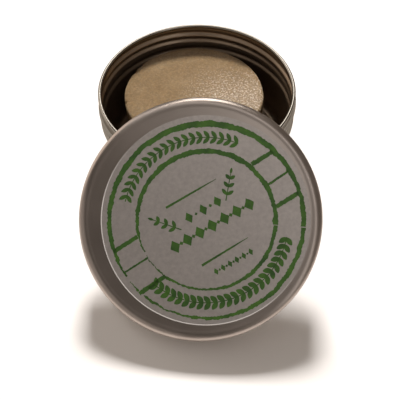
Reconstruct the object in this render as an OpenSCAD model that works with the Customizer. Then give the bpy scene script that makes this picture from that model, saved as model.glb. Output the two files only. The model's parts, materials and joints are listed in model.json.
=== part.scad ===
// Shaving soap puck in a round aluminium screw-lid tin.
// The tin stands open on a flat surface. Its lid leans on the front of the
// rim with the printed face up. Millimetres, +Z up. The origin is the centre
// of the tin's base, on the surface it stands on. The lid leans out to -Y.

/* [Tin] */
// Radius of the tin's drawn wall
tin_r = 38.5; // [36:0.1:38.6]
// Height of the tin over its rolled rim
tin_h = 33.4; // [31:0.1:36]
// Sheet thickness of the tin and its lid
sheet = 0.45; // [0.3:0.05:0.5]
// Radius of the tin's bottom corner
tin_corner = 3.2; // [1.5:0.1:4]
// Wire radius of the rolled rim
rim_bead = 0.7; // [0.5:0.05:0.8]
// Height of one thread ridge above the wall
thread_rise = 0.85; // [0.5:0.05:0.95]
// Height of the stacking bead above the wall
bulge_rise = 1.0; // [0.4:0.05:1.1]

/* [Soap] */
// Radius of the soap puck
soap_r = 28.9; // [24:0.1:29.5]
// Height of the soap puck
soap_h = 24.5; // [15:0.1:26]
// Radius of the puck's worn top edge
soap_edge = 0.9; // [0.3:0.1:2]
// Where the puck stands in the tin, to the right of its centre
soap_x = -1.2; // [-3:0.1:3]
// Where the puck stands in the tin, to the back of its centre
soap_y = 5.2; // [0:0.1:6]

/* [Lid] */
// Outer radius of the lid's skirt
lid_r = 41.0; // [41:0.1:42.5]
// Depth of the lid over its rolled edge
lid_depth = 8.7; // [8.4:0.1:9.5]
// Radius of the lid's domed shoulder
lid_shoulder = 3.5; // [3.2:0.1:3.8]
// Depth of the panel below the shoulder
panel_drop = 0.15; // [0.1:0.05:0.25]
// How far the rolled thread stands into the lid
lid_thread = 1.55; // [1.2:0.05:1.6]
// Radius of the round label
label_r = 35.0; // [30:0.1:35.5]
// Thickness of the label
label_t = 0.12; // [0.1:0.01:0.15]
// Radius of the foam liner
liner_r = 38.6; // [36:0.1:38.7]
// Thickness of the foam liner
liner_t = 1.0; // [0.5:0.1:1]

/* [Leaning lid] */
// Lean of the lid from level
lean = 29.8; // [29.7:0.01:30.2]
// Turn of the leaning lid about the vertical
yaw = -6.51; // [-8:0.01:0]
// Sideways position of the lid's centre
lid_x = -0.18; // [-1:0.01:1]
// Front position of the lid's centre
lid_y = -57.83; // [-58.5:0.01:-57.7]
// Height of the lid's centre
lid_z = 27.79; // [27.79:0.01:28.4]

/* [Hidden] */
$fn = 160;

rim_r = tin_r - 0.6;                 // centre circle of the rolled rim
rim_z = tin_h - rim_bead;
bulge_z = tin_h - 12.4;              // stacking bead below the thread
thread_z = [tin_h - 8.6, tin_h - 5.4]; // two turns of thread
panel_z = -panel_drop;
dome_end = 46;                       // slope at which the shoulder turns down into the skirt
corner_r = 0.35;
dome_r = lid_r - corner_r - (lid_shoulder - corner_r) * sin(dome_end); // where the shoulder begins
corner_z = -lid_shoulder + (lid_shoulder - corner_r) * cos(dome_end);
label_x = 1.96;                      // the label is stuck on a little off centre
label_y = -0.52;

// one smooth ridge of height h and half width w, centred on zc
function ridge(z, zc, w, h) = abs(z - zc) < w ? h * (0.5 + 0.5 * cos(180 * (z - zc) / w)) : 0;
// arc of a profile about (cx, cz)
function arc(cx, cz, r, a0, a1, n) = [for (i = [0:n]) let (a = a0 + (a1 - a0) * i / n) [cx + r * cos(a), cz + r * sin(a)]];

// outer radius of the tin's wall at height z
function wall_r(z) = tin_r
    + ridge(z, bulge_z, 1.9, bulge_rise)
    + ridge(z, thread_z[0], 1.45, thread_rise)
    + ridge(z, thread_z[1], 1.45, thread_rise)
    - ridge(z, tin_h - 2.4, 1.2, 0.25);
wall_z = concat([tin_corner],
    [for (i = [-4:4]) bulge_z + 1.9 * i / 4],
    [for (t = thread_z) for (i = [-3:3]) t + 1.45 * i / 3],
    [for (i = [-1:1]) tin_h - 2.4 + 1.2 * i]);

// outside of the lid's skirt at height z, with its rolled thread
lid_thread_z = -5.35;
function skirt_r(z) = lid_r - ridge(z, lid_thread_z, 1.75, lid_thread);
skirt_z = [for (i = [-4:4]) lid_thread_z - 1.75 * i / 4];

module tin_body() {
    color([0.66, 0.63, 0.59]) {
        // floor, corner and rolled wall, one drawn sheet
        rotate_extrude()
            polygon(concat(
                [[0, 0]],
                arc(tin_r - tin_corner, tin_corner, tin_corner, -90, 0, 6),
                [for (i = [1:len(wall_z) - 1]) [wall_r(wall_z[i]), wall_z[i]]],
                [[rim_r + 0.1, rim_z + 0.2], [rim_r - 0.35, rim_z + 0.2]],
                [for (i = [len(wall_z) - 1:-1:1]) [wall_r(wall_z[i]) - sheet, wall_z[i]]],
                arc(tin_r - tin_corner, tin_corner, tin_corner - sheet, 0, -90, 6),
                [[0, sheet]]));
        // rolled rim
        rotate_extrude() translate([rim_r, rim_z]) circle(r = rim_bead, $fn = 48);
    }
}

module soap_puck() {
    color([0.68, 0.58, 0.46])
        translate([soap_x, soap_y, sheet + 0.05])
            rotate_extrude()
                polygon(concat(
                    [[0, 0]],
                    arc(soap_r - 0.6, 0.6, 0.6, -90, 0, 4),
                    arc(soap_r - soap_edge, soap_h - soap_edge, soap_edge, 0, 90, 5),
                    [[0, soap_h]]));
}

// places a piece drawn about the lid's own axis, panel up, on the leaning lid
module on_lid() {
    translate([lid_x, lid_y, lid_z]) rotate([lean, 0, yaw]) children();
}

module lid_shell() {
    color([0.56, 0.52, 0.49])
        on_lid() {
            rotate_extrude()
                polygon(concat(
                    [[0, panel_z], [dome_r - 1.2, panel_z], [dome_r - 0.4, panel_z + panel_drop * 0.75]],
                    arc(dome_r, -lid_shoulder, lid_shoulder, 90, 90 - dome_end, 6),
                    arc(lid_r - corner_r, corner_z, corner_r, 70 - dome_end / 2, 0, 3),
                    [for (z = skirt_z) [skirt_r(z), z]],
                    [[lid_r, 0.5 - lid_depth], [lid_r - sheet, 0.5 - lid_depth]],
                    [for (i = [len(skirt_z) - 1:-1:0]) [skirt_r(skirt_z[i]) - sheet, skirt_z[i]]],
                    [[lid_r - sheet, corner_z - 0.3]],
                    arc(dome_r, -lid_shoulder, lid_shoulder - sheet, 90 - dome_end + 4, 90, 6),
                    [[dome_r - 0.9, panel_z - sheet], [0, panel_z - sheet]]));
            // rolled edge
            rotate_extrude() translate([lid_r - 0.55, 0.55 - lid_depth]) circle(r = 0.55, $fn = 40);
        }
}

module lid_liner() {
    color([0.93, 0.92, 0.9])
        on_lid() translate([0, 0, panel_z - sheet - 0.06 - liner_t]) cylinder(r = liner_r, h = liner_t);
}

module top_label() {
    color([0.6, 0.56, 0.53])
        on_lid() translate([label_x, label_y, panel_z]) cylinder(r = label_r, h = label_t);
}

tin_body();
soap_puck();
lid_shell();
lid_liner();
top_label();
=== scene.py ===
import json
import math
import random

import bpy
import numpy as np
from mathutils import Matrix, Vector, noise


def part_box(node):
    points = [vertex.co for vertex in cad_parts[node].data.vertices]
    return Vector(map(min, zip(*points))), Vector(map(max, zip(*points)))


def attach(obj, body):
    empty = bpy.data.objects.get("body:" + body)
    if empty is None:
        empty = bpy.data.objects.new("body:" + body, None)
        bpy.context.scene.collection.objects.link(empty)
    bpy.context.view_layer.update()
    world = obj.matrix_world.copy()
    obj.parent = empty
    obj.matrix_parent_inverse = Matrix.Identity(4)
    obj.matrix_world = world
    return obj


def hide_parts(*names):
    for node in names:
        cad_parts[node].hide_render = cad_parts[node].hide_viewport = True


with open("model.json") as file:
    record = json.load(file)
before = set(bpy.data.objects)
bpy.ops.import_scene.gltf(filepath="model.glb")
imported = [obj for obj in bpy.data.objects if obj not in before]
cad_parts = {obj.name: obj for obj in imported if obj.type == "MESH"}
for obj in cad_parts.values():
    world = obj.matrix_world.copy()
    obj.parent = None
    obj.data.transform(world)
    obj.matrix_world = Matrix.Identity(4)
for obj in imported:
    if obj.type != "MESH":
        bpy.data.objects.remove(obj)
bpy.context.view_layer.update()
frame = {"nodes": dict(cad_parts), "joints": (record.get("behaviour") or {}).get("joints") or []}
NODES = frame["nodes"]
MM = 0.001
scene = bpy.context.scene

# ---------------------------------------------------------------- the lid's place
lid_turn = [j for j in frame["joints"] if j["name"] == "lid_turn"][0]
LID_AXIS = Vector(lid_turn["axis"]).normalized()
LID_POS = Vector(lid_turn["pos_m"])
_yaw = math.atan2(LID_AXIS.x, -LID_AXIS.y)
_lean = math.acos(LID_AXIS.z)
LID_M = Matrix.Translation(LID_POS) @ Matrix.Rotation(_yaw, 4, "Z") @ Matrix.Rotation(_lean, 4, "X")


# ---------------------------------------------------------------- mesh helpers
def mesh_object(name, verts, faces, mats, face_mat=None, smooth=True, angle=35.0):
    me = bpy.data.meshes.new(name)
    me.from_pydata([tuple(v) for v in verts], [], faces)
    me.validate(verbose=False)
    for m in mats:
        me.materials.append(m)
    if face_mat is not None and len(face_mat) == len(me.polygons):
        me.polygons.foreach_set("material_index", face_mat)
    me.polygons.foreach_set("use_smooth", [smooth] * len(me.polygons))
    if smooth:
        me.set_sharp_from_angle(angle=math.radians(angle))
    me.update()
    ob = bpy.data.objects.new(name, me)
    scene.collection.objects.link(ob)
    return ob


def place(ob, m):
    """puts a mesh drawn in its own axes where it belongs, in its vertices"""
    ob.data.transform(m)
    ob.data.update()
    return ob


def arc(cx, cz, r, a0, a1, n):
    return [(cx + r * math.cos(math.radians(a0 + (a1 - a0) * i / n)),
             cz + r * math.sin(math.radians(a0 + (a1 - a0) * i / n))) for i in range(n + 1)]


def line(p, q, n):
    return [(p[0] + (q[0] - p[0]) * i / n, p[1] + (q[1] - p[1]) * i / n) for i in range(1, n + 1)]


def lathe(name, prof, mats, nseg=256, shift=None, mat_of=None, angle=35.0):
    """Turns a profile that starts and ends on the axis into a closed skin, in millimetres. shift(r, z, theta) moves the wall."""
    ring = [p for p in prof[1:-1]]
    verts, faces, fm = [], [], []
    verts.append((0, 0, prof[0][1] * MM))
    for k, (r, z) in enumerate(ring):
        for i in range(nseg):
            t = 2 * math.pi * i / nseg
            rr, zz = (r, z) if shift is None else shift(r, z, t, k)
            verts.append((rr * math.cos(t) * MM, rr * math.sin(t) * MM, zz * MM))
    verts.append((0, 0, prof[-1][1] * MM))
    last = len(verts) - 1
    up = prof[0][1] < prof[-1][1]
    for i in range(nseg):
        j = (i + 1) % nseg
        faces.append((0, 1 + j, 1 + i))
        fm.append(0 if mat_of is None else mat_of(0))
    for k in range(len(ring) - 1):
        a, b = 1 + k * nseg, 1 + (k + 1) * nseg
        m = 0 if mat_of is None else mat_of(k + 1)
        for i in range(nseg):
            j = (i + 1) % nseg
            faces.append((a + i, a + j, b + j, b + i))
            fm.append(m)
    a = 1 + (len(ring) - 1) * nseg
    for i in range(nseg):
        j = (i + 1) % nseg
        faces.append((a + i, a + j, last))
        fm.append(0 if mat_of is None else mat_of(len(ring)))
    return mesh_object(name, verts, faces, mats, fm, True, angle)


def smooth01(x):
    x = max(0.0, min(1.0, x))
    return x * x * (3 - 2 * x)


def bump(z, zc, w):
    d = abs(z - zc)
    return 0.5 + 0.5 * math.cos(math.pi * d / w) if d < w else 0.0


# ---------------------------------------------------------------- materials
l_lo, l_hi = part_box("top_label")
LABEL_C = (l_lo + l_hi) / 2
# the lid's lower side; the label's cut edge gets a painted highlight on this side
LOW_SIDE = (LID_M.to_3x3() @ Vector((-0.55, -0.83, 0))).normalized()


def new_mat(name):
    m = bpy.data.materials.new(name)
    m.use_nodes = True
    nt = m.node_tree
    bsdf = nt.nodes["Principled BSDF"]
    return m, nt, bsdf


def N(nt, kind, **kw):
    n = nt.nodes.new(kind)
    for k, v in kw.items():
        setattr(n, k, v)
    return n


def coords(nt):
    return N(nt, "ShaderNodeTexCoord").outputs["Object"]


def tex_noise(nt, vec, scale, detail=4, rough=0.55, dist=0.0):
    n = N(nt, "ShaderNodeTexNoise")
    n.inputs["Scale"].default_value = scale
    n.inputs["Detail"].default_value = detail
    n.inputs["Roughness"].default_value = rough
    n.inputs["Distortion"].default_value = dist
    nt.links.new(vec, n.inputs["Vector"])
    return n


def ramp(nt, fac, stops):
    r = N(nt, "ShaderNodeValToRGB")
    els = r.color_ramp.elements
    els[0].position, els[0].color = stops[0][0], stops[0][1]
    els[1].position, els[1].color = stops[-1][0], stops[-1][1]
    for p, c in stops[1:-1]:
        e = els.new(p)
        e.color = c
    nt.links.new(fac, r.inputs["Fac"])
    return r.outputs["Color"]


def map_range(nt, val, a, b, c, d):
    m = N(nt, "ShaderNodeMapRange")
    for i, v in zip(("From Min", "From Max", "To Min", "To Max"), (a, b, c, d)):
        m.inputs[i].default_value = v
    nt.links.new(val, m.inputs["Value"])
    return m.outputs["Result"]


def rgba(c, a=1.0):
    return (c[0], c[1], c[2], a)


def bump_node(nt, height, strength, dist, normal=None):
    b = N(nt, "ShaderNodeBump")
    b.inputs["Strength"].default_value = strength
    b.inputs["Distance"].default_value = dist
    nt.links.new(height, b.inputs["Height"])
    if normal is not None:
        nt.links.new(normal, b.inputs["Normal"])
    return b.outputs["Normal"]


def metal(name, dark, light, r0, r1, edge=(0.30, 0.28, 0.26), grain=2600.0, bump_d=0.000001, coat=0.0, metallic=1.0):
    m, nt, bsdf = new_mat(name)
    v = coords(nt)
    big = tex_noise(nt, v, 60.0, 3, 0.5)
    fine = tex_noise(nt, v, grain, 3, 0.6)
    col = ramp(nt, big.outputs["Fac"], [(0.3, rgba(dark)), (0.7, rgba(light))])
    nt.links.new(col, bsdf.inputs["Base Color"])
    nt.links.new(map_range(nt, fine.outputs["Fac"], 0.3, 0.7, r0, r1), bsdf.inputs["Roughness"])
    nt.links.new(bump_node(nt, fine.outputs["Fac"], 0.5, bump_d), bsdf.inputs["Normal"])
    bsdf.inputs["Metallic"].default_value = metallic
    bsdf.inputs["Specular Tint"].default_value = rgba(edge)
    bsdf.inputs["Coat Weight"].default_value = coat
    bsdf.inputs["Coat Roughness"].default_value = 0.35
    return m


M_TIN = metal("tin_aluminium", (0.25, 0.23, 0.20), (0.30, 0.28, 0.25), 0.30, 0.38)
M_RIM = metal("tin_rim", (0.30, 0.275, 0.24), (0.36, 0.33, 0.29), 0.17, 0.24)
M_TIN_IN = metal("tin_inside", (0.38, 0.29, 0.21), (0.46, 0.36, 0.27), 0.34, 0.44, metallic=0.9)
M_LID = metal("lid_aluminium", (0.42, 0.361, 0.322), (0.49, 0.424, 0.382), 0.29, 0.32, bump_d=0.0000002)
M_LID_IN = metal("lid_inside", (0.55, 0.52, 0.48), (0.62, 0.58, 0.54), 0.34, 0.46)


def make_soap_mat():
    m, nt, bsdf = new_mat("soap")
    v = coords(nt)
    cloud = tex_noise(nt, v, 90.0, 4, 0.6)
    grain = tex_noise(nt, v, 900.0, 5, 0.7)
    speck = tex_noise(nt, v, 2600.0, 2, 0.5)
    col = ramp(nt, cloud.outputs["Fac"], [(0.3, (0.198, 0.125, 0.058, 1)), (0.55, (0.225, 0.146, 0.072, 1)), (0.75, (0.265, 0.180, 0.094, 1))])
    mix = N(nt, "ShaderNodeMix", data_type="RGBA", blend_type="OVERLAY")
    mix.inputs["Factor"].default_value = 0.75
    nt.links.new(col, mix.inputs["A"])
    g = ramp(nt, grain.outputs["Fac"], [(0.35, (0.38, 0.38, 0.38, 1)), (0.65, (0.62, 0.62, 0.62, 1))])
    nt.links.new(g, mix.inputs["B"])
    # a paler colour along the top edge
    flat = N(nt, "ShaderNodeVectorMath", operation="MULTIPLY")
    nt.links.new(v, flat.inputs[0])
    flat.inputs[1].default_value = (1, 1, 0)
    out = N(nt, "ShaderNodeVectorMath", operation="DISTANCE")
    nt.links.new(flat.outputs["Vector"], out.inputs[0])
    out.inputs[1].default_value = (SX, SY, 0)
    pale_top_edge = N(nt, "ShaderNodeMix", data_type="RGBA")
    sep = N(nt, "ShaderNodeSeparateXYZ")
    nt.links.new(v, sep.inputs["Vector"])
    edge_on = N(nt, "ShaderNodeMath", operation="MULTIPLY")
    nt.links.new(map_range(nt, out.outputs["Value"], SR * MM - 0.0011, SR * MM - 0.0005, 0.0, 0.55), edge_on.inputs[0])
    nt.links.new(map_range(nt, sep.outputs["Z"], s_hi.z - 0.0030, s_hi.z - 0.0012, 0.25, 1.0), edge_on.inputs[1])
    nt.links.new(edge_on.outputs["Value"], pale_top_edge.inputs["Factor"])
    nt.links.new(mix.outputs["Result"], pale_top_edge.inputs["A"])
    pale_top_edge.inputs["B"].default_value = (0.38, 0.28, 0.17, 1)
    # the pressed top is glossier to one side of the puck
    patch = N(nt, "ShaderNodeMath", operation="MULTIPLY")
    nt.links.new(map_range(nt, sep.outputs["X"], -0.008, 0.010, 0.0, 1.0), patch.inputs[0])
    nt.links.new(map_range(nt, sep.outputs["Y"], 0.022, 0.002, 0.0, 1.0), patch.inputs[1])
    # painted glints: pale specks mixed into the base colour, mostly on the glossy patch and the top face, stand in for
    # highlights on the grain
    painted_glint_noise = tex_noise(nt, v, 1250.0, 3, 0.65)
    painted_glint_on = N(nt, "ShaderNodeMath", operation="MULTIPLY")
    nt.links.new(map_range(nt, painted_glint_noise.outputs["Fac"], 0.50, 0.66, 0.0, 1.0), painted_glint_on.inputs[0])
    nt.links.new(map_range(nt, patch.outputs["Value"], 0.0, 0.8, 0.10, 1.0), painted_glint_on.inputs[1])
    painted_glint_top = N(nt, "ShaderNodeMath", operation="MULTIPLY")
    nt.links.new(painted_glint_on.outputs["Value"], painted_glint_top.inputs[0])
    nt.links.new(map_range(nt, sep.outputs["Z"], s_hi.z - 0.0020, s_hi.z - 0.0004, 0.12, 1.0), painted_glint_top.inputs[1])
    top = N(nt, "ShaderNodeMix", data_type="RGBA")
    nt.links.new(painted_glint_top.outputs["Value"], top.inputs["Factor"])
    nt.links.new(pale_top_edge.outputs["Result"], top.inputs["A"])
    top.inputs["B"].default_value = (0.62, 0.50, 0.38, 1)
    nt.links.new(top.outputs["Result"], bsdf.inputs["Base Color"])
    rough = N(nt, "ShaderNodeMix", data_type="FLOAT")
    nt.links.new(patch.outputs["Value"], rough.inputs["Factor"])
    nt.links.new(map_range(nt, grain.outputs["Fac"], 0.3, 0.7, 0.52, 0.72), rough.inputs["A"])
    nt.links.new(map_range(nt, grain.outputs["Fac"], 0.3, 0.7, 0.26, 0.52), rough.inputs["B"])
    nt.links.new(rough.outputs["Result"], bsdf.inputs["Roughness"])
    nt.links.new(map_range(nt, patch.outputs["Value"], 0.0, 1.0, 0.22, 0.55), bsdf.inputs["Specular IOR Level"])
    b1 = bump_node(nt, grain.outputs["Fac"], 0.6, 0.00022)
    b2 = bump_node(nt, speck.outputs["Fac"], 0.45, 0.00008, b1)
    nt.links.new(b2, bsdf.inputs["Normal"])
    bsdf.inputs["Subsurface Weight"].default_value = 0.2
    bsdf.inputs["Subsurface Radius"].default_value = (0.9, 0.5, 0.3)
    bsdf.inputs["Subsurface Scale"].default_value = 0.0015
    return m


s_lo, s_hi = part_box("soap_puck")
SX, SY = (s_lo.x + s_hi.x) / 2, (s_lo.y + s_hi.y) / 2
SR, SH = (s_hi.x - s_lo.x) / 2 / MM, (s_hi.z - s_lo.z) / MM
M_SOAP = make_soap_mat()


def make_label_mat():
    m, nt, bsdf = new_mat("label_stock")
    v = coords(nt)
    mott = tex_noise(nt, v, 700.0, 4, 0.65)
    fine = tex_noise(nt, v, 4200.0, 2, 0.5)
    col = ramp(nt, mott.outputs["Fac"], [(0.3, (0.45, 0.405, 0.38, 1)), (0.7, (0.555, 0.505, 0.47, 1))])
    # painted highlight: the cut edge of the stock is coloured pale only along the lower side, where the edge catches
    # the light
    rim = N(nt, "ShaderNodeVectorMath", operation="DISTANCE")
    nt.links.new(v, rim.inputs[0])
    rim.inputs[1].default_value = LABEL_C
    lean = N(nt, "ShaderNodeVectorMath", operation="DOT_PRODUCT")
    nt.links.new(v, lean.inputs[0])
    lean.inputs[1].default_value = LOW_SIDE
    side = map_range(nt, lean.outputs["Value"], LABEL_C.dot(LOW_SIDE) - 0.004, LABEL_C.dot(LOW_SIDE) + 0.016, 0.0, 1.0)
    edge = N(nt, "ShaderNodeMath", operation="MULTIPLY")
    nt.links.new(map_range(nt, rim.outputs["Value"], 0.03464, 0.03472, 0.0, 1.0), edge.inputs[0])
    nt.links.new(side, edge.inputs[1])
    painted_edge_highlight = N(nt, "ShaderNodeMix", data_type="RGBA")
    nt.links.new(edge.outputs["Value"], painted_edge_highlight.inputs["Factor"])
    nt.links.new(col, painted_edge_highlight.inputs["A"])
    painted_edge_highlight.inputs["B"].default_value = (0.90, 0.85, 0.80, 1)
    nt.links.new(painted_edge_highlight.outputs["Result"], bsdf.inputs["Base Color"])
    nt.links.new(map_range(nt, edge.outputs["Value"], 0.0, 1.0, 0.72, 0.0), bsdf.inputs["Metallic"])
    nt.links.new(map_range(nt, fine.outputs["Fac"], 0.3, 0.7, 0.38, 0.48), bsdf.inputs["Roughness"])
    nt.links.new(bump_node(nt, fine.outputs["Fac"], 0.35, 0.00001), bsdf.inputs["Normal"])
    return m


def make_ink_mat():
    m, nt, bsdf = new_mat("green_ink")
    v = coords(nt)
    blot = tex_noise(nt, v, 260.0, 4, 0.6)
    fine = tex_noise(nt, v, 3000.0, 2, 0.5)
    col = ramp(nt, blot.outputs["Fac"], [(0.32, (0.023, 0.074, 0.009, 1)), (0.68, (0.061, 0.155, 0.016, 1))])
    nt.links.new(col, bsdf.inputs["Base Color"])
    nt.links.new(map_range(nt, fine.outputs["Fac"], 0.3, 0.7, 0.42, 0.6), bsdf.inputs["Roughness"])
    nt.links.new(bump_node(nt, fine.outputs["Fac"], 0.3, 0.000008), bsdf.inputs["Normal"])
    return m


def make_foam_mat():
    m, nt, bsdf = new_mat("liner_foam")
    v = coords(nt)
    cell = N(nt, "ShaderNodeTexVoronoi")
    cell.inputs["Scale"].default_value = 1500.0
    nt.links.new(v, cell.inputs["Vector"])
    col = ramp(nt, cell.outputs["Distance"], [(0.0, (0.83, 0.82, 0.79, 1)), (0.7, (0.92, 0.915, 0.90, 1))])
    nt.links.new(col, bsdf.inputs["Base Color"])
    nt.links.new(bump_node(nt, cell.outputs["Distance"], 0.5, 0.00008), bsdf.inputs["Normal"])
    bsdf.inputs["Roughness"].default_value = 0.75
    return m


M_LABEL, M_INK, M_FOAM = make_label_mat(), make_ink_mat(), make_foam_mat()

# ---------------------------------------------------------------- tin body
TIN_H, TIN_R, SHEET, CORNER = 33.4, 38.5, 0.45, 3.2
PITCH, TURNS, THREAD_Z0, THREAD_RISE = 3.3, 1.95, 23.6, 0.85
THREAD_START = math.radians(200)


def thread_shift(z, t, z0=THREAD_Z0, pitch=PITCH, turns=TURNS, rise=THREAD_RISE, start=THREAD_START, w=1.65):
    s = 0.0
    base = (t - start) % (2 * math.pi)
    for k in range(int(math.ceil(turns)) + 1):
        tt = base + 2 * math.pi * k
        if tt > 2 * math.pi * turns:
            break
        fade = smooth01((tt + 0.4) / 6.5) * smooth01((2 * math.pi * turns - tt) / 0.7)
        s += rise * fade * bump(z, z0 + pitch * tt / (2 * math.pi), w)
    return s * smooth01((31.95 - z) / 0.9)


def tin_profile():
    out = [(0, 0)] + [(r, 0) for r in (6, 14, 22, 30)]
    out += arc(TIN_R - CORNER, CORNER, CORNER, -90, 0, 10)
    wall = [z for z in np.arange(4.5, 18.4, 1.5)] + [z for z in np.arange(18.6, 31.9, 0.26)]
    for z in wall:
        out.append((TIN_R + 1.0 * bump(z, TIN_H - 12.4, 1.9), float(z)))
    n_out_wall = len(out)
    out += [(38.42, 31.95)]
    out += arc(37.9, 32.7, 0.7, -44, 196, 22)
    bead_end = len(out)
    out += [(37.35, 32.2), (37.6, 31.95)]
    for z in reversed(wall):
        out.append((TIN_R - SHEET + 1.0 * bump(z, TIN_H - 12.4, 1.9), float(z)))
    out += arc(TIN_R - CORNER, CORNER, CORNER - SHEET, 0, -90, 10)
    out += [(r, SHEET) for r in (30, 22, 14, 6)] + [(0, SHEET)]
    return out, bead_end


prof, BEAD_END = tin_profile()


def tin_shift(r, z, t, k):
    if r > 36 and 20.0 < z < 31.92:
        r += thread_shift(z, t)
    return min(r, 39.48), z


def tin_zone(k):
    return 1 if k >= BEAD_END else (2 if k > BEAD_END - 24 else 0)


tin = lathe("tin_body_skin", prof, [M_TIN, M_TIN_IN, M_RIM], 320, tin_shift, tin_zone)
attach(tin, "tin")
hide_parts("tin_body")

# ---------------------------------------------------------------- soap puck
def soap_mesh():
    nseg = 360
    prof = [(0, 0)] + [(r, 0) for r in (5, 12, 20, 26)] + arc(SR - 0.7, 0.7, 0.7, -90, 0, 5)
    prof += line((SR, 0.9), (SR, SH - 1.3), 16)
    top_r = SR - 0.2
    prof += arc(SR - 1.15, SH - 1.15, 1.1, 8, 90, 9)
    prof += [(r, SH - 0.02) for r in np.arange(SR - 1.6, 0.8, -0.7)]
    prof += [(0, SH - 0.02)]
    verts, faces = [], []
    ring = prof[1:-1]
    verts.append((0, 0, 0))
    for k, (r, z) in enumerate(ring):
        for i in range(nseg):
            t = 2 * math.pi * i / nseg
            x, y = r * math.cos(t), r * math.sin(t)
            side = smooth01((r - SR + 3.0) / 2.0)
            # the cut outline wanders in by a few tenths, with small nicks on the top edge
            wob = 0.30 * (0.5 + 0.5 * noise.noise(Vector((3.1 * math.cos(t), 3.1 * math.sin(t), 4.0))))
            wob += 0.16 * (0.5 + 0.5 * noise.noise(Vector((14 * math.cos(t), 14 * math.sin(t), z * 0.25 + 9.0))))
            edge = smooth01((z - SH + 2.6) / 2.2) * side
            nick = max(0.0, noise.noise(Vector((13 * math.cos(t), 13 * math.sin(t), z * 0.5 + 31.0))) - 0.12) * 0.8 * edge
            rr = r - (wob * side) - nick * 0.75
            zz = z
            if z > SH * 0.5:
                relief = 0.16 * (0.5 + 0.5 * noise.noise(Vector((x * 0.16, y * 0.16, 2.0))))
                relief += 0.07 * (0.5 + 0.5 * noise.noise(Vector((x * 0.9, y * 0.9, 7.0))))
                relief += 0.035 * (0.5 + 0.5 * noise.noise(Vector((x * 2.6, y * 2.6, 17.0))))
                zz = z - (relief + nick * 0.5) * smooth01((z - SH + 3.0) / 2.5)
            verts.append((rr * math.cos(t) * MM, rr * math.sin(t) * MM, zz * MM))
    verts.append((0, 0, (SH - 0.12) * MM))
    last = len(verts) - 1
    for i in range(nseg):
        faces.append((0, 1 + (i + 1) % nseg, 1 + i))
    for k in range(len(ring) - 1):
        a, b = 1 + k * nseg, 1 + (k + 1) * nseg
        for i in range(nseg):
            j = (i + 1) % nseg
            faces.append((a + i, a + j, b + j, b + i))
    a = 1 + (len(ring) - 1) * nseg
    for i in range(nseg):
        faces.append((a + i, a + (i + 1) % nseg, last))
    ob = mesh_object("soap_puck_body", verts, faces, [M_SOAP], None, True, 60)
    place(ob, Matrix.Translation((SX, SY, s_lo.z)))
    return ob


soap = soap_mesh()
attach(soap, "soap")
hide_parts("soap_puck")

# ---------------------------------------------------------------- lid shell
LID_R, LID_D, DOME, DROP = 40.99, 8.7, 3.5, 0.15
DOME_END, CORNER_R, LIP = 46, 0.35, 0.095
DOME_X = LID_R - CORNER_R - (DOME - CORNER_R) * math.sin(math.radians(DOME_END))
CORNER_Z = -DOME + (DOME - CORNER_R) * math.cos(math.radians(DOME_END))


def lid_profile():
    top = [(0, -DROP)] + [(r, -DROP) for r in (6, 14, 22, 30, 35, 37.1)]
    # a shallow step up from the panel, the domed shoulder, then a tight turn down into the skirt
    top += [(DOME_X - 1.2 + 1.2 * i / 8, -DROP + (DROP - LIP) * smooth01(i / 8) * 0.999) for i in range(1, 8)]
    top += arc(DOME_X, -DOME - LIP, DOME, 90, 90 - DOME_END, 18)
    top += arc(LID_R - CORNER_R, CORNER_Z - LIP, CORNER_R, 84 - DOME_END, 0, 8)
    zs = [float(z) for z in np.arange(-1.6, -7.75, -0.2)]
    top += [(LID_R, z) for z in zs]
    # the edge is rolled in to a small curl
    top += arc(LID_R - 0.55, -(LID_D - 0.55), 0.55, 0, -250, 18)
    curl_end = len(top)
    top += [(LID_R - SHEET, -7.3)]
    top += [(LID_R - SHEET, z) for z in reversed(zs) if z > -7.2]
    top += arc(DOME_X, -DOME - LIP, DOME - SHEET, 90 - DOME_END + 4, 90, 10)
    top += [(DOME_X - 0.9, -DROP - SHEET)]
    top += [(r, -DROP - SHEET) for r in (36, 30, 22, 14, 6)] + [(0, -DROP - SHEET)]
    return top, curl_end


lprof, CURL_END = lid_profile()


def lid_shift(r, z, t, k):
    if r > 39.5 and -7.3 < z < -2.3:
        base = t % (2 * math.pi)
        depth = 0.0
        turns, pitch, z0 = 1.35, 1.6, -3.9
        for n in range(2):
            tt = base + 2 * math.pi * n
            if tt > 2 * math.pi * turns:
                break
            fade = smooth01(tt / 0.6) * smooth01((2 * math.pi * turns - tt) / 0.6)
            depth = max(depth, 1.3 * fade * bump(z, z0 - pitch * tt / (2 * math.pi), 1.35))
        r -= depth
    return r, z


lid = lathe("lid_shell_skin", [(r, z) for r, z in lprof], [M_LID, M_LID_IN], 320, lid_shift, lambda k: 1 if k >= CURL_END else 0)
lid.data.flip_normals()
place(lid, LID_M)
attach(lid, "lid")
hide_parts("lid_shell")

# ---------------------------------------------------------------- liner
LIN_TOP = -(DROP + SHEET + 0.06)


def liner_profile():
    t, b = LIN_TOP - 0.02, LIN_TOP - 1.0
    p = [(0, b)] + [(r, b) for r in (8, 16, 24, 32, 37.2)] + arc(38.6 - 0.3, b + 0.3, 0.3, -90, 0, 5)
    p += arc(38.6 - 0.2, t - 0.2, 0.2, 0, 90, 4) + [(r, t) for r in (32, 24, 16, 8)] + [(0, t)]
    return p


liner = lathe("lid_liner_disc", liner_profile(), [M_FOAM], 192)
place(liner, LID_M)
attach(liner, "liner")
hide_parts("lid_liner")

# ---------------------------------------------------------------- label
LAB_R, LAB_X, LAB_Y, LAB_Z = 35.0, 1.96, -0.52, -DROP


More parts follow.
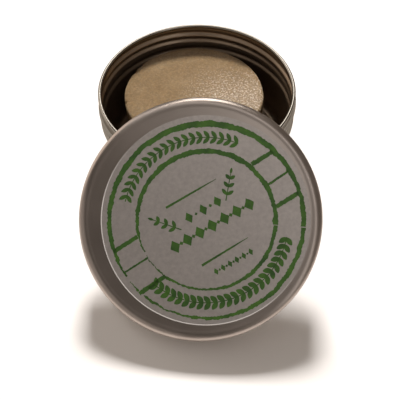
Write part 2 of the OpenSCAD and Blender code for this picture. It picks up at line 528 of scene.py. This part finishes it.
def label_profile():
    t, b = LAB_Z + 0.12, LAB_Z + 0.005
    p = [(0, b)] + [(r, b) for r in (10, 20, 30, 34.95)]
    p += [(LAB_R, b + 0.02), (LAB_R, t - 0.012), (LAB_R - 0.012, t)]
    p += [(r, t) for r in (34, 30, 20, 10)] + [(0, t)]
    return p


LABEL_M = LID_M @ Matrix.Translation((LAB_X * MM, LAB_Y * MM, 0))
label = lathe("top_label_disc", label_profile(), [M_LABEL], 256)
place(label, LABEL_M)
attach(label, "lid")
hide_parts("top_label")

# ---------------------------------------------------------------- print on the label
INK_B, INK_T = LAB_Z + 0.117, LAB_Z + 0.137
rng = random.Random(41)


class Print:
    """Thin closed prisms of ink, built up as strips in the label's plane, in millimetres."""

    def __init__(self, name):
        self.name, self.v, self.f = name, [], []

    def strip(self, left, right, closed=False):
        n, b = len(left), len(self.v)
        for p, q in zip(left, right):
            self.v += [(p[0], p[1], INK_T), (q[0], q[1], INK_T), (p[0], p[1], INK_B), (q[0], q[1], INK_B)]
        last = n if closed else n - 1
        for i in range(last):
            a, c = b + 4 * i, b + 4 * ((i + 1) % n)
            self.f += [(a, a + 1, c + 1, c), (a + 2, c + 2, c + 3, a + 3), (a, c, c + 2, a + 2), (a + 1, a + 3, c + 3, c + 1)]
        if not closed:
            a, c = b, b + 4 * (n - 1)
            self.f += [(a, a + 2, a + 3, a + 1), (c, c + 1, c + 3, c + 2)]

    def poly(self, pts):
        n, b = len(pts), len(self.v)
        self.v += [(p[0], p[1], INK_T) for p in pts] + [(p[0], p[1], INK_B) for p in pts]
        self.f.append(tuple(b + i for i in range(n)))
        self.f.append(tuple(b + n + i for i in reversed(range(n))))
        for i in range(n):
            j = (i + 1) % n
            self.f.append((b + j, b + i, b + n + i, b + n + j))

    def make(self):
        ob = mesh_object(self.name, [(x * MM, y * MM, z * MM) for x, y, z in self.v], self.f, [M_INK], None, False)
        import bmesh
        bm = bmesh.new()
        bm.from_mesh(ob.data)
        bmesh.ops.recalc_face_normals(bm, faces=bm.faces)
        bm.to_mesh(ob.data)
        bm.free()
        place(ob, LABEL_M)
        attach(ob, "lid")
        return ob


def jag(seed, x, scale, amp):
    """rough cut edge: a slow wander with small steps on it"""
    a = noise.noise(Vector((x * scale, seed * 7.3, 1.0)))
    b = noise.noise(Vector((x * scale * 3.7, seed * 3.1, 5.0)))
    c = noise.noise(Vector((round(x * scale * 1.7) * 1.37, seed * 5.9, 9.0)))
    return amp * (0.45 * a + 0.3 * b + 0.5 * c)


def ring_piece(name, cx, cy, r, thick, seed, amp, gaps=()):
    """thick(deg) is the ring's width at that angle; gaps are spans, in degrees, where it breaks"""
    pr = Print(name)
    step = 0.5
    run_l, run_r = [], []

    def flush():
        if len(run_l) > 3:
            pr.strip(list(run_l), list(run_r))
        run_l.clear()
        run_r.clear()

    angles = np.arange(0, 360, step)
    full = not gaps
    for d in angles:
        if any(a <= d <= b for a, b in gaps):
            flush()
            continue
        t = math.radians(d)
        # walk on a circle in the noise space so that the ring closes
        u = Vector((math.cos(t), math.sin(t), 0))
        def jj(sd):
            a = noise.noise(Vector((u.x * r * 0.35, u.y * r * 0.35, sd * 7.3)))
            b = noise.noise(Vector((u.x * r * 1.3, u.y * r * 1.3, sd * 3.1)))
            c = noise.noise(Vector((round(d / 4.0) * 1.37, sd * 5.9, 9.0)))
            return amp * (0.5 * a + 0.45 * b + 0.4 * c)
        w = thick(d)
        ro = r + w / 2 + jj(seed)
        ri = r - w / 2 + jj(seed + 11)
        if ro - ri < 0.12:
            m = (ro + ri) / 2
            ro, ri = m + 0.06, m - 0.06
        run_l.append((cx + ro * math.cos(t), cy + ro * math.sin(t)))
        run_r.append((cx + ri * math.cos(t), cy + ri * math.sin(t)))
    if full:
        pr.strip(run_l, run_r, True)
    else:
        flush()
    return pr.make()


def interp(table):
    """periodic interpolation over degrees"""
    xs = [a for a, _ in table]
    ys = [b for _, b in table]
    def f(d):
        return float(np.interp(d % 360, xs + [xs[0] + 360], ys + [ys[0]]))
    return f


outer_w = interp([(0, 1.6), (45, 1.7), (90, 2.25), (120, 1.95), (165, 1.7), (200, 1.5), (215, 0.7), (228, 0.25), (245, 0.6), (270, 0.9), (300, 1.3), (330, 1.6)])
inner_w = interp([(0, 1.5), (45, 1.6), (90, 1.9), (130, 1.6), (170, 1.5), (195, 1.1), (210, 0.5), (226, 0.3), (240, 0.6), (270, 0.85), (300, 1.1), (330, 1.35)])
ring_piece("ink_ring_outer", 0.3, -0.3, 32.35, outer_w, 1, 0.68, [(221, 223.5), (232, 235)])
ring_piece("ink_ring_inner", 0.4, -0.35, 23.1, inner_w, 2, 0.6, [(213, 215)])


def bar(pr, p, q, w0, w1, seed, amp, n=26):
    """rough straight bar from p to q, w0 wide at p and w1 at q"""
    p, q = Vector((p[0], p[1], 0)), Vector((q[0], q[1], 0))
    d = (q - p)
    nrm = Vector((-d.y, d.x, 0)).normalized()
    L, R = [], []
    for i in range(n + 1):
        s = i / n
        c = p + d * s
        w = w0 + (w1 - w0) * s
        a = w / 2 + jag(seed, s * d.length, 1.1, amp)
        b = w / 2 + jag(seed + 5, s * d.length, 1.1, amp)
        a, b = max(a, 0.05), max(b, 0.05)
        L.append(tuple((c + nrm * a)[:2]))
        R.append(tuple((c - nrm * b)[:2]))
    pr.strip(L, R)


bars = Print("ink_bars")
bar(bars, (14.3, 19.15), (21.0, 24.05), 1.6, 1.4, 3, 0.4)
bar(bars, (20.2, 12.7), (26.5, 17.75), 0.85, 0.7, 4, 0.22)
bar(bars, (23.4, 5.7), (30.2, 10.6), 1.45, 1.5, 5, 0.35)
bar(bars, (-29.4, -13.4), (-21.9, -7.8), 1.5, 1.4, 6, 0.35)
bar(bars, (-25.2, -20.0), (-17.9, -14.6), 0.6, 0.7, 7, 0.2)
bar(bars, (-19.6, -26.5), (-11.4, -20.1), 1.5, 1.4, 8, 0.35)
bars.make()

rules = Print("ink_rules")
for k, (p, q) in enumerate((((-13.2, 2.5), (2.8, 13.45)), ((0.3, -15.65), (14.8, -5.2)))):
    mid = ((p[0] * 0.35 + q[0] * 0.65), (p[1] * 0.35 + q[1] * 0.65))
    bar(rules, p, mid, 0.78, 0.62, 20 + k, 0.12, 20)
    bar(rules, mid, q, 0.62, 0.16, 22 + k, 0.08, 14)
rules.make()


def leaf(pr, p, ang, length, width):
    c, s = math.cos(ang), math.sin(ang)
    L, R = [], []
    for i in range(9):
        u = i / 8
        w = width * math.sin(math.pi * min(1, 0.06 + 0.9 * u)) ** 0.8
        x = u * length
        L.append((p[0] + c * x - s * w / 2, p[1] + s * x + c * w / 2))
        R.append((p[0] + c * x + s * w / 2, p[1] + s * x - c * w / 2))
    pr.strip(L, R)


def sprig(pr, p, q, seed):
    bar(pr, p, q, 0.42, 0.25, seed, 0.05, 14)
    d = Vector((q[0] - p[0], q[1] - p[1]))
    ang = math.atan2(d.y, d.x)
    for i, s in enumerate((0.2, 0.47, 0.74)):
        b = (p[0] + d.x * s, p[1] + d.y * s)
        leaf(pr, b, ang + 0.85, 2.6 - 0.25 * i, 1.25)
        leaf(pr, b, ang - 0.85, 2.6 - 0.25 * i, 1.25)
    leaf(pr, (p[0] + d.x * 0.93, p[1] + d.y * 0.93), ang, 2.0, 0.9)


sprigs = Print("ink_sprigs")
sprig(sprigs, (6.6, 6.4), (7.6, 16.3), 31)
sprig(sprigs, (-7.4, -4.4), (-17.8, -1.7), 32)
sprigs.make()


def diamond(pr, cx, cy, ang, h, w, seed):
    """one rough lozenge, h long along ang"""
    c, q = math.cos(ang), math.sin(ang)
    L, R = [], []
    for i in range(13):
        u = i / 12
        k = (1 - abs(2 * u - 1)) * w / 2
        a = max(0.04, k + jag(seed, u * h, 1.3, 0.22))
        b = max(0.04, k + jag(seed + 3, u * h, 1.3, 0.22))
        x = (u - 0.5) * h
        L.append((cx + c * x - q * a, cy + q * x + c * a))
        R.append((cx + c * x + q * b, cy + q * x - c * b))
    pr.strip(L, R)


# plain leaf garlands and lozenges stand where the wording is
band = Print("ink_border_leaves")


def garland(a0, a1, r, n, seed, wide):
    """leaves in pairs along a thin stem on the arc from a0 to a1"""
    cx, cy = 0.3, -0.3
    L, R = [], []
    m = 120
    for i in range(m + 1):
        t = math.radians(a0 + (a1 - a0) * i / m)
        w = 0.17 + 0.06 * noise.noise(Vector((i * 0.4, seed, 0)))
        L.append((cx + (r + w) * math.cos(t), cy + (r + w) * math.sin(t)))
        R.append((cx + (r - w) * math.cos(t), cy + (r - w) * math.sin(t)))
    band.strip(L, R)
    turn = math.pi / 2 if a1 > a0 else -math.pi / 2
    for i in range(n):
        t = math.radians(a0 + (a1 - a0) * (i + 0.1) / n)
        p = (cx + r * math.cos(t), cy + r * math.sin(t))
        for side in (1, -1):
            leaf(band, p, t + turn + side * 0.82, 2.95, wide)


garland(71, 172, 27.7, 20, 1.0, 1.4)
garland(352, 234, 27.4, 24, 2.0, 1.75)
band.make()

rows = Print("ink_centre_marks")


def row(p, q, n, h, w, seed, dot):
    d = Vector((q[0] - p[0], q[1] - p[1]))
    ang = math.atan2(d.y, d.x)
    for i in range(n):
        s = i / (n - 1)
        x, y = p[0] + d.x * s, p[1] + d.y * s
        if i % 2 == 0:
            diamond(rows, x, y, ang + math.pi / 2, h, w, seed + i)
        else:
            diamond(rows, x, y, ang, dot, dot, seed + i)


row((-5.2, -0.2), (3.8, 5.9), 5, 3.9, 2.8, 300, 1.2)
row((-9.0, -10.2), (14.4, 5.8), 13, 4.6, 3.6, 400, 1.4)
row((5.2, -17.2), (16.0, -9.8), 11, 2.4, 1.6, 500, 0.9)
rows.make()

# ---------------------------------------------------------------- floor, light, camera
fl = mesh_object("floor", [(-2.5, -2.5, -0.00005), (2.5, -2.5, -0.00005), (2.5, 2.5, -0.00005), (-2.5, 2.5, -0.00005)], [(0, 1, 2, 3)], [], None, False)
mf, nt, bsdf = new_mat("floor_white")
bsdf.inputs["Base Color"].default_value = (0.945, 0.887, 0.835, 1)
bsdf.inputs["Roughness"].default_value = 0.85
bsdf.inputs["Specular IOR Level"].default_value = 0.1
fl.data.materials.append(mf)

world = bpy.data.worlds.new("studio")
scene.world = world
world.use_nodes = True
wt = world.node_tree
bg = wt.nodes["Background"]
wc = wt.nodes.new("ShaderNodeTexCoord")
sep = wt.nodes.new("ShaderNodeSeparateXYZ")
wt.links.new(wc.outputs["Generated"], sep.inputs["Vector"])
side = wt.nodes.new("ShaderNodeVectorMath")
side.operation = "DOT_PRODUCT"
side.inputs[1].default_value = (0.8, 0.6, 0.0)
wt.links.new(wc.outputs["Generated"], side.inputs[0])


def warm(g, k=1.0):
    return (g, g * (1 - 0.08 * k), g * (1 - 0.15 * k), 1)


hi = ramp(wt, map_range(wt, side.outputs["Value"], -1.0, 1.0, 0.0, 1.0),
          [(0.11, warm(0.44)), (0.155, warm(0.36)), (0.18, warm(0.04, 1.6)), (0.21, warm(0.0, 1.6)), (0.235, warm(0.02, 1.6)), (0.275, warm(0.15, 1.5)), (0.31, warm(0.18, 1.4)),
           (0.365, warm(0.12, 1.3)), (0.395, warm(0.20)), (0.42, warm(0.80, 0.6)), (0.455, warm(1.40, 0.2)), (0.51, warm(0.80, 0.8)), (0.57, warm(0.16, 1.6))])
high = map_range(wt, sep.outputs["Z"], 0.12, 0.45, 0.0, 1.0)
wmix = wt.nodes.new("ShaderNodeMix")
wmix.data_type = "RGBA"
wt.links.new(high, wmix.inputs["Factor"])
lo = ramp(wt, map_range(wt, sep.outputs["X"], -1.0, 1.0, 0.0, 1.0), [(0.1, warm(0.40)), (0.45, warm(0.24, 1.4)), (0.9, warm(0.20, 1.4))])
wt.links.new(lo, wmix.inputs["A"])
wt.links.new(hi, wmix.inputs["B"])
# a soft bright patch, low and to the left behind, for the inside of the tin
spot = wt.nodes.new("ShaderNodeVectorMath")
spot.operation = "DOT_PRODUCT"
spot.inputs[1].default_value = Vector((-0.80, 0.53, 0.26)).normalized()
wt.links.new(wc.outputs["Generated"], spot.inputs[0])
glow = wt.nodes.new("ShaderNodeMix")
glow.data_type = "RGBA"
wt.links.new(map_range(wt, spot.outputs["Value"], 0.90, 0.98, 0.0, 1.0), glow.inputs["Factor"])
wt.links.new(wmix.outputs["Result"], glow.inputs["A"])
glow.inputs["B"].default_value = (1.5, 1.35, 1.2, 1)
wt.links.new(glow.outputs["Result"], bg.inputs["Color"])
bg.inputs["Strength"].default_value = 1.0


def area(name, pos, target, size, energy, color=(1, 1, 1), size_y=None):
    d = bpy.data.lights.new(name, "AREA")
    d.shape = "RECTANGLE"
    d.size, d.size_y = size, size_y or size
    d.energy = energy
    d.color = color
    o = bpy.data.objects.new(name, d)
    o.location = pos
    o.rotation_euler = (Vector(target) - Vector(pos)).to_track_quat("-Z", "Y").to_euler()
    scene.collection.objects.link(o)
    return o


key = area("key_behind", (0.04, 1.86, 1.48), (0, -0.03, 0.0), 0.56, 98, (0.975, 0.985, 1.0), 0.36)
key.visible_glossy = False
# the sheen on metal and soap comes from two wide, dim cards
card = area("card_behind", (0.04, 1.72, 1.64), (0, -0.03, 0.0), 0.80, 10.5, (1.0, 0.975, 0.94), 0.85)
card.visible_diffuse = False
strip = area("card_above", (-0.04, 0.66, 1.02), (0, -0.03, 0.03), 0.70, 1.7, (1.0, 0.96, 0.90), 0.16)
strip.visible_diffuse = False

cam = bpy.data.cameras.new("camera")
cam.lens = 43.9
cam.sensor_width = 36.0
cam.clip_start = 0.01
co = bpy.data.objects.new("camera", cam)
right = Vector((0.9998, -0.01814, -0.00842)).normalized()
fwd = Vector((0.00345, 0.57139, -0.82067)).normalized()
up = right.cross(fwd).normalized()
right = fwd.cross(up).normalized()
co.matrix_world = Matrix(((right.x, up.x, -fwd.x, -0.000264), (right.y, up.y, -fwd.y, -0.146231), (right.z, up.z, -fwd.z, 0.164252), (0, 0, 0, 1)))
scene.collection.objects.link(co)
scene.camera = co

scene.view_settings.view_transform = "Standard"
scene.view_settings.look = "None"
scene.view_settings.exposure = 0.0
scene.view_settings.gamma = 1.0
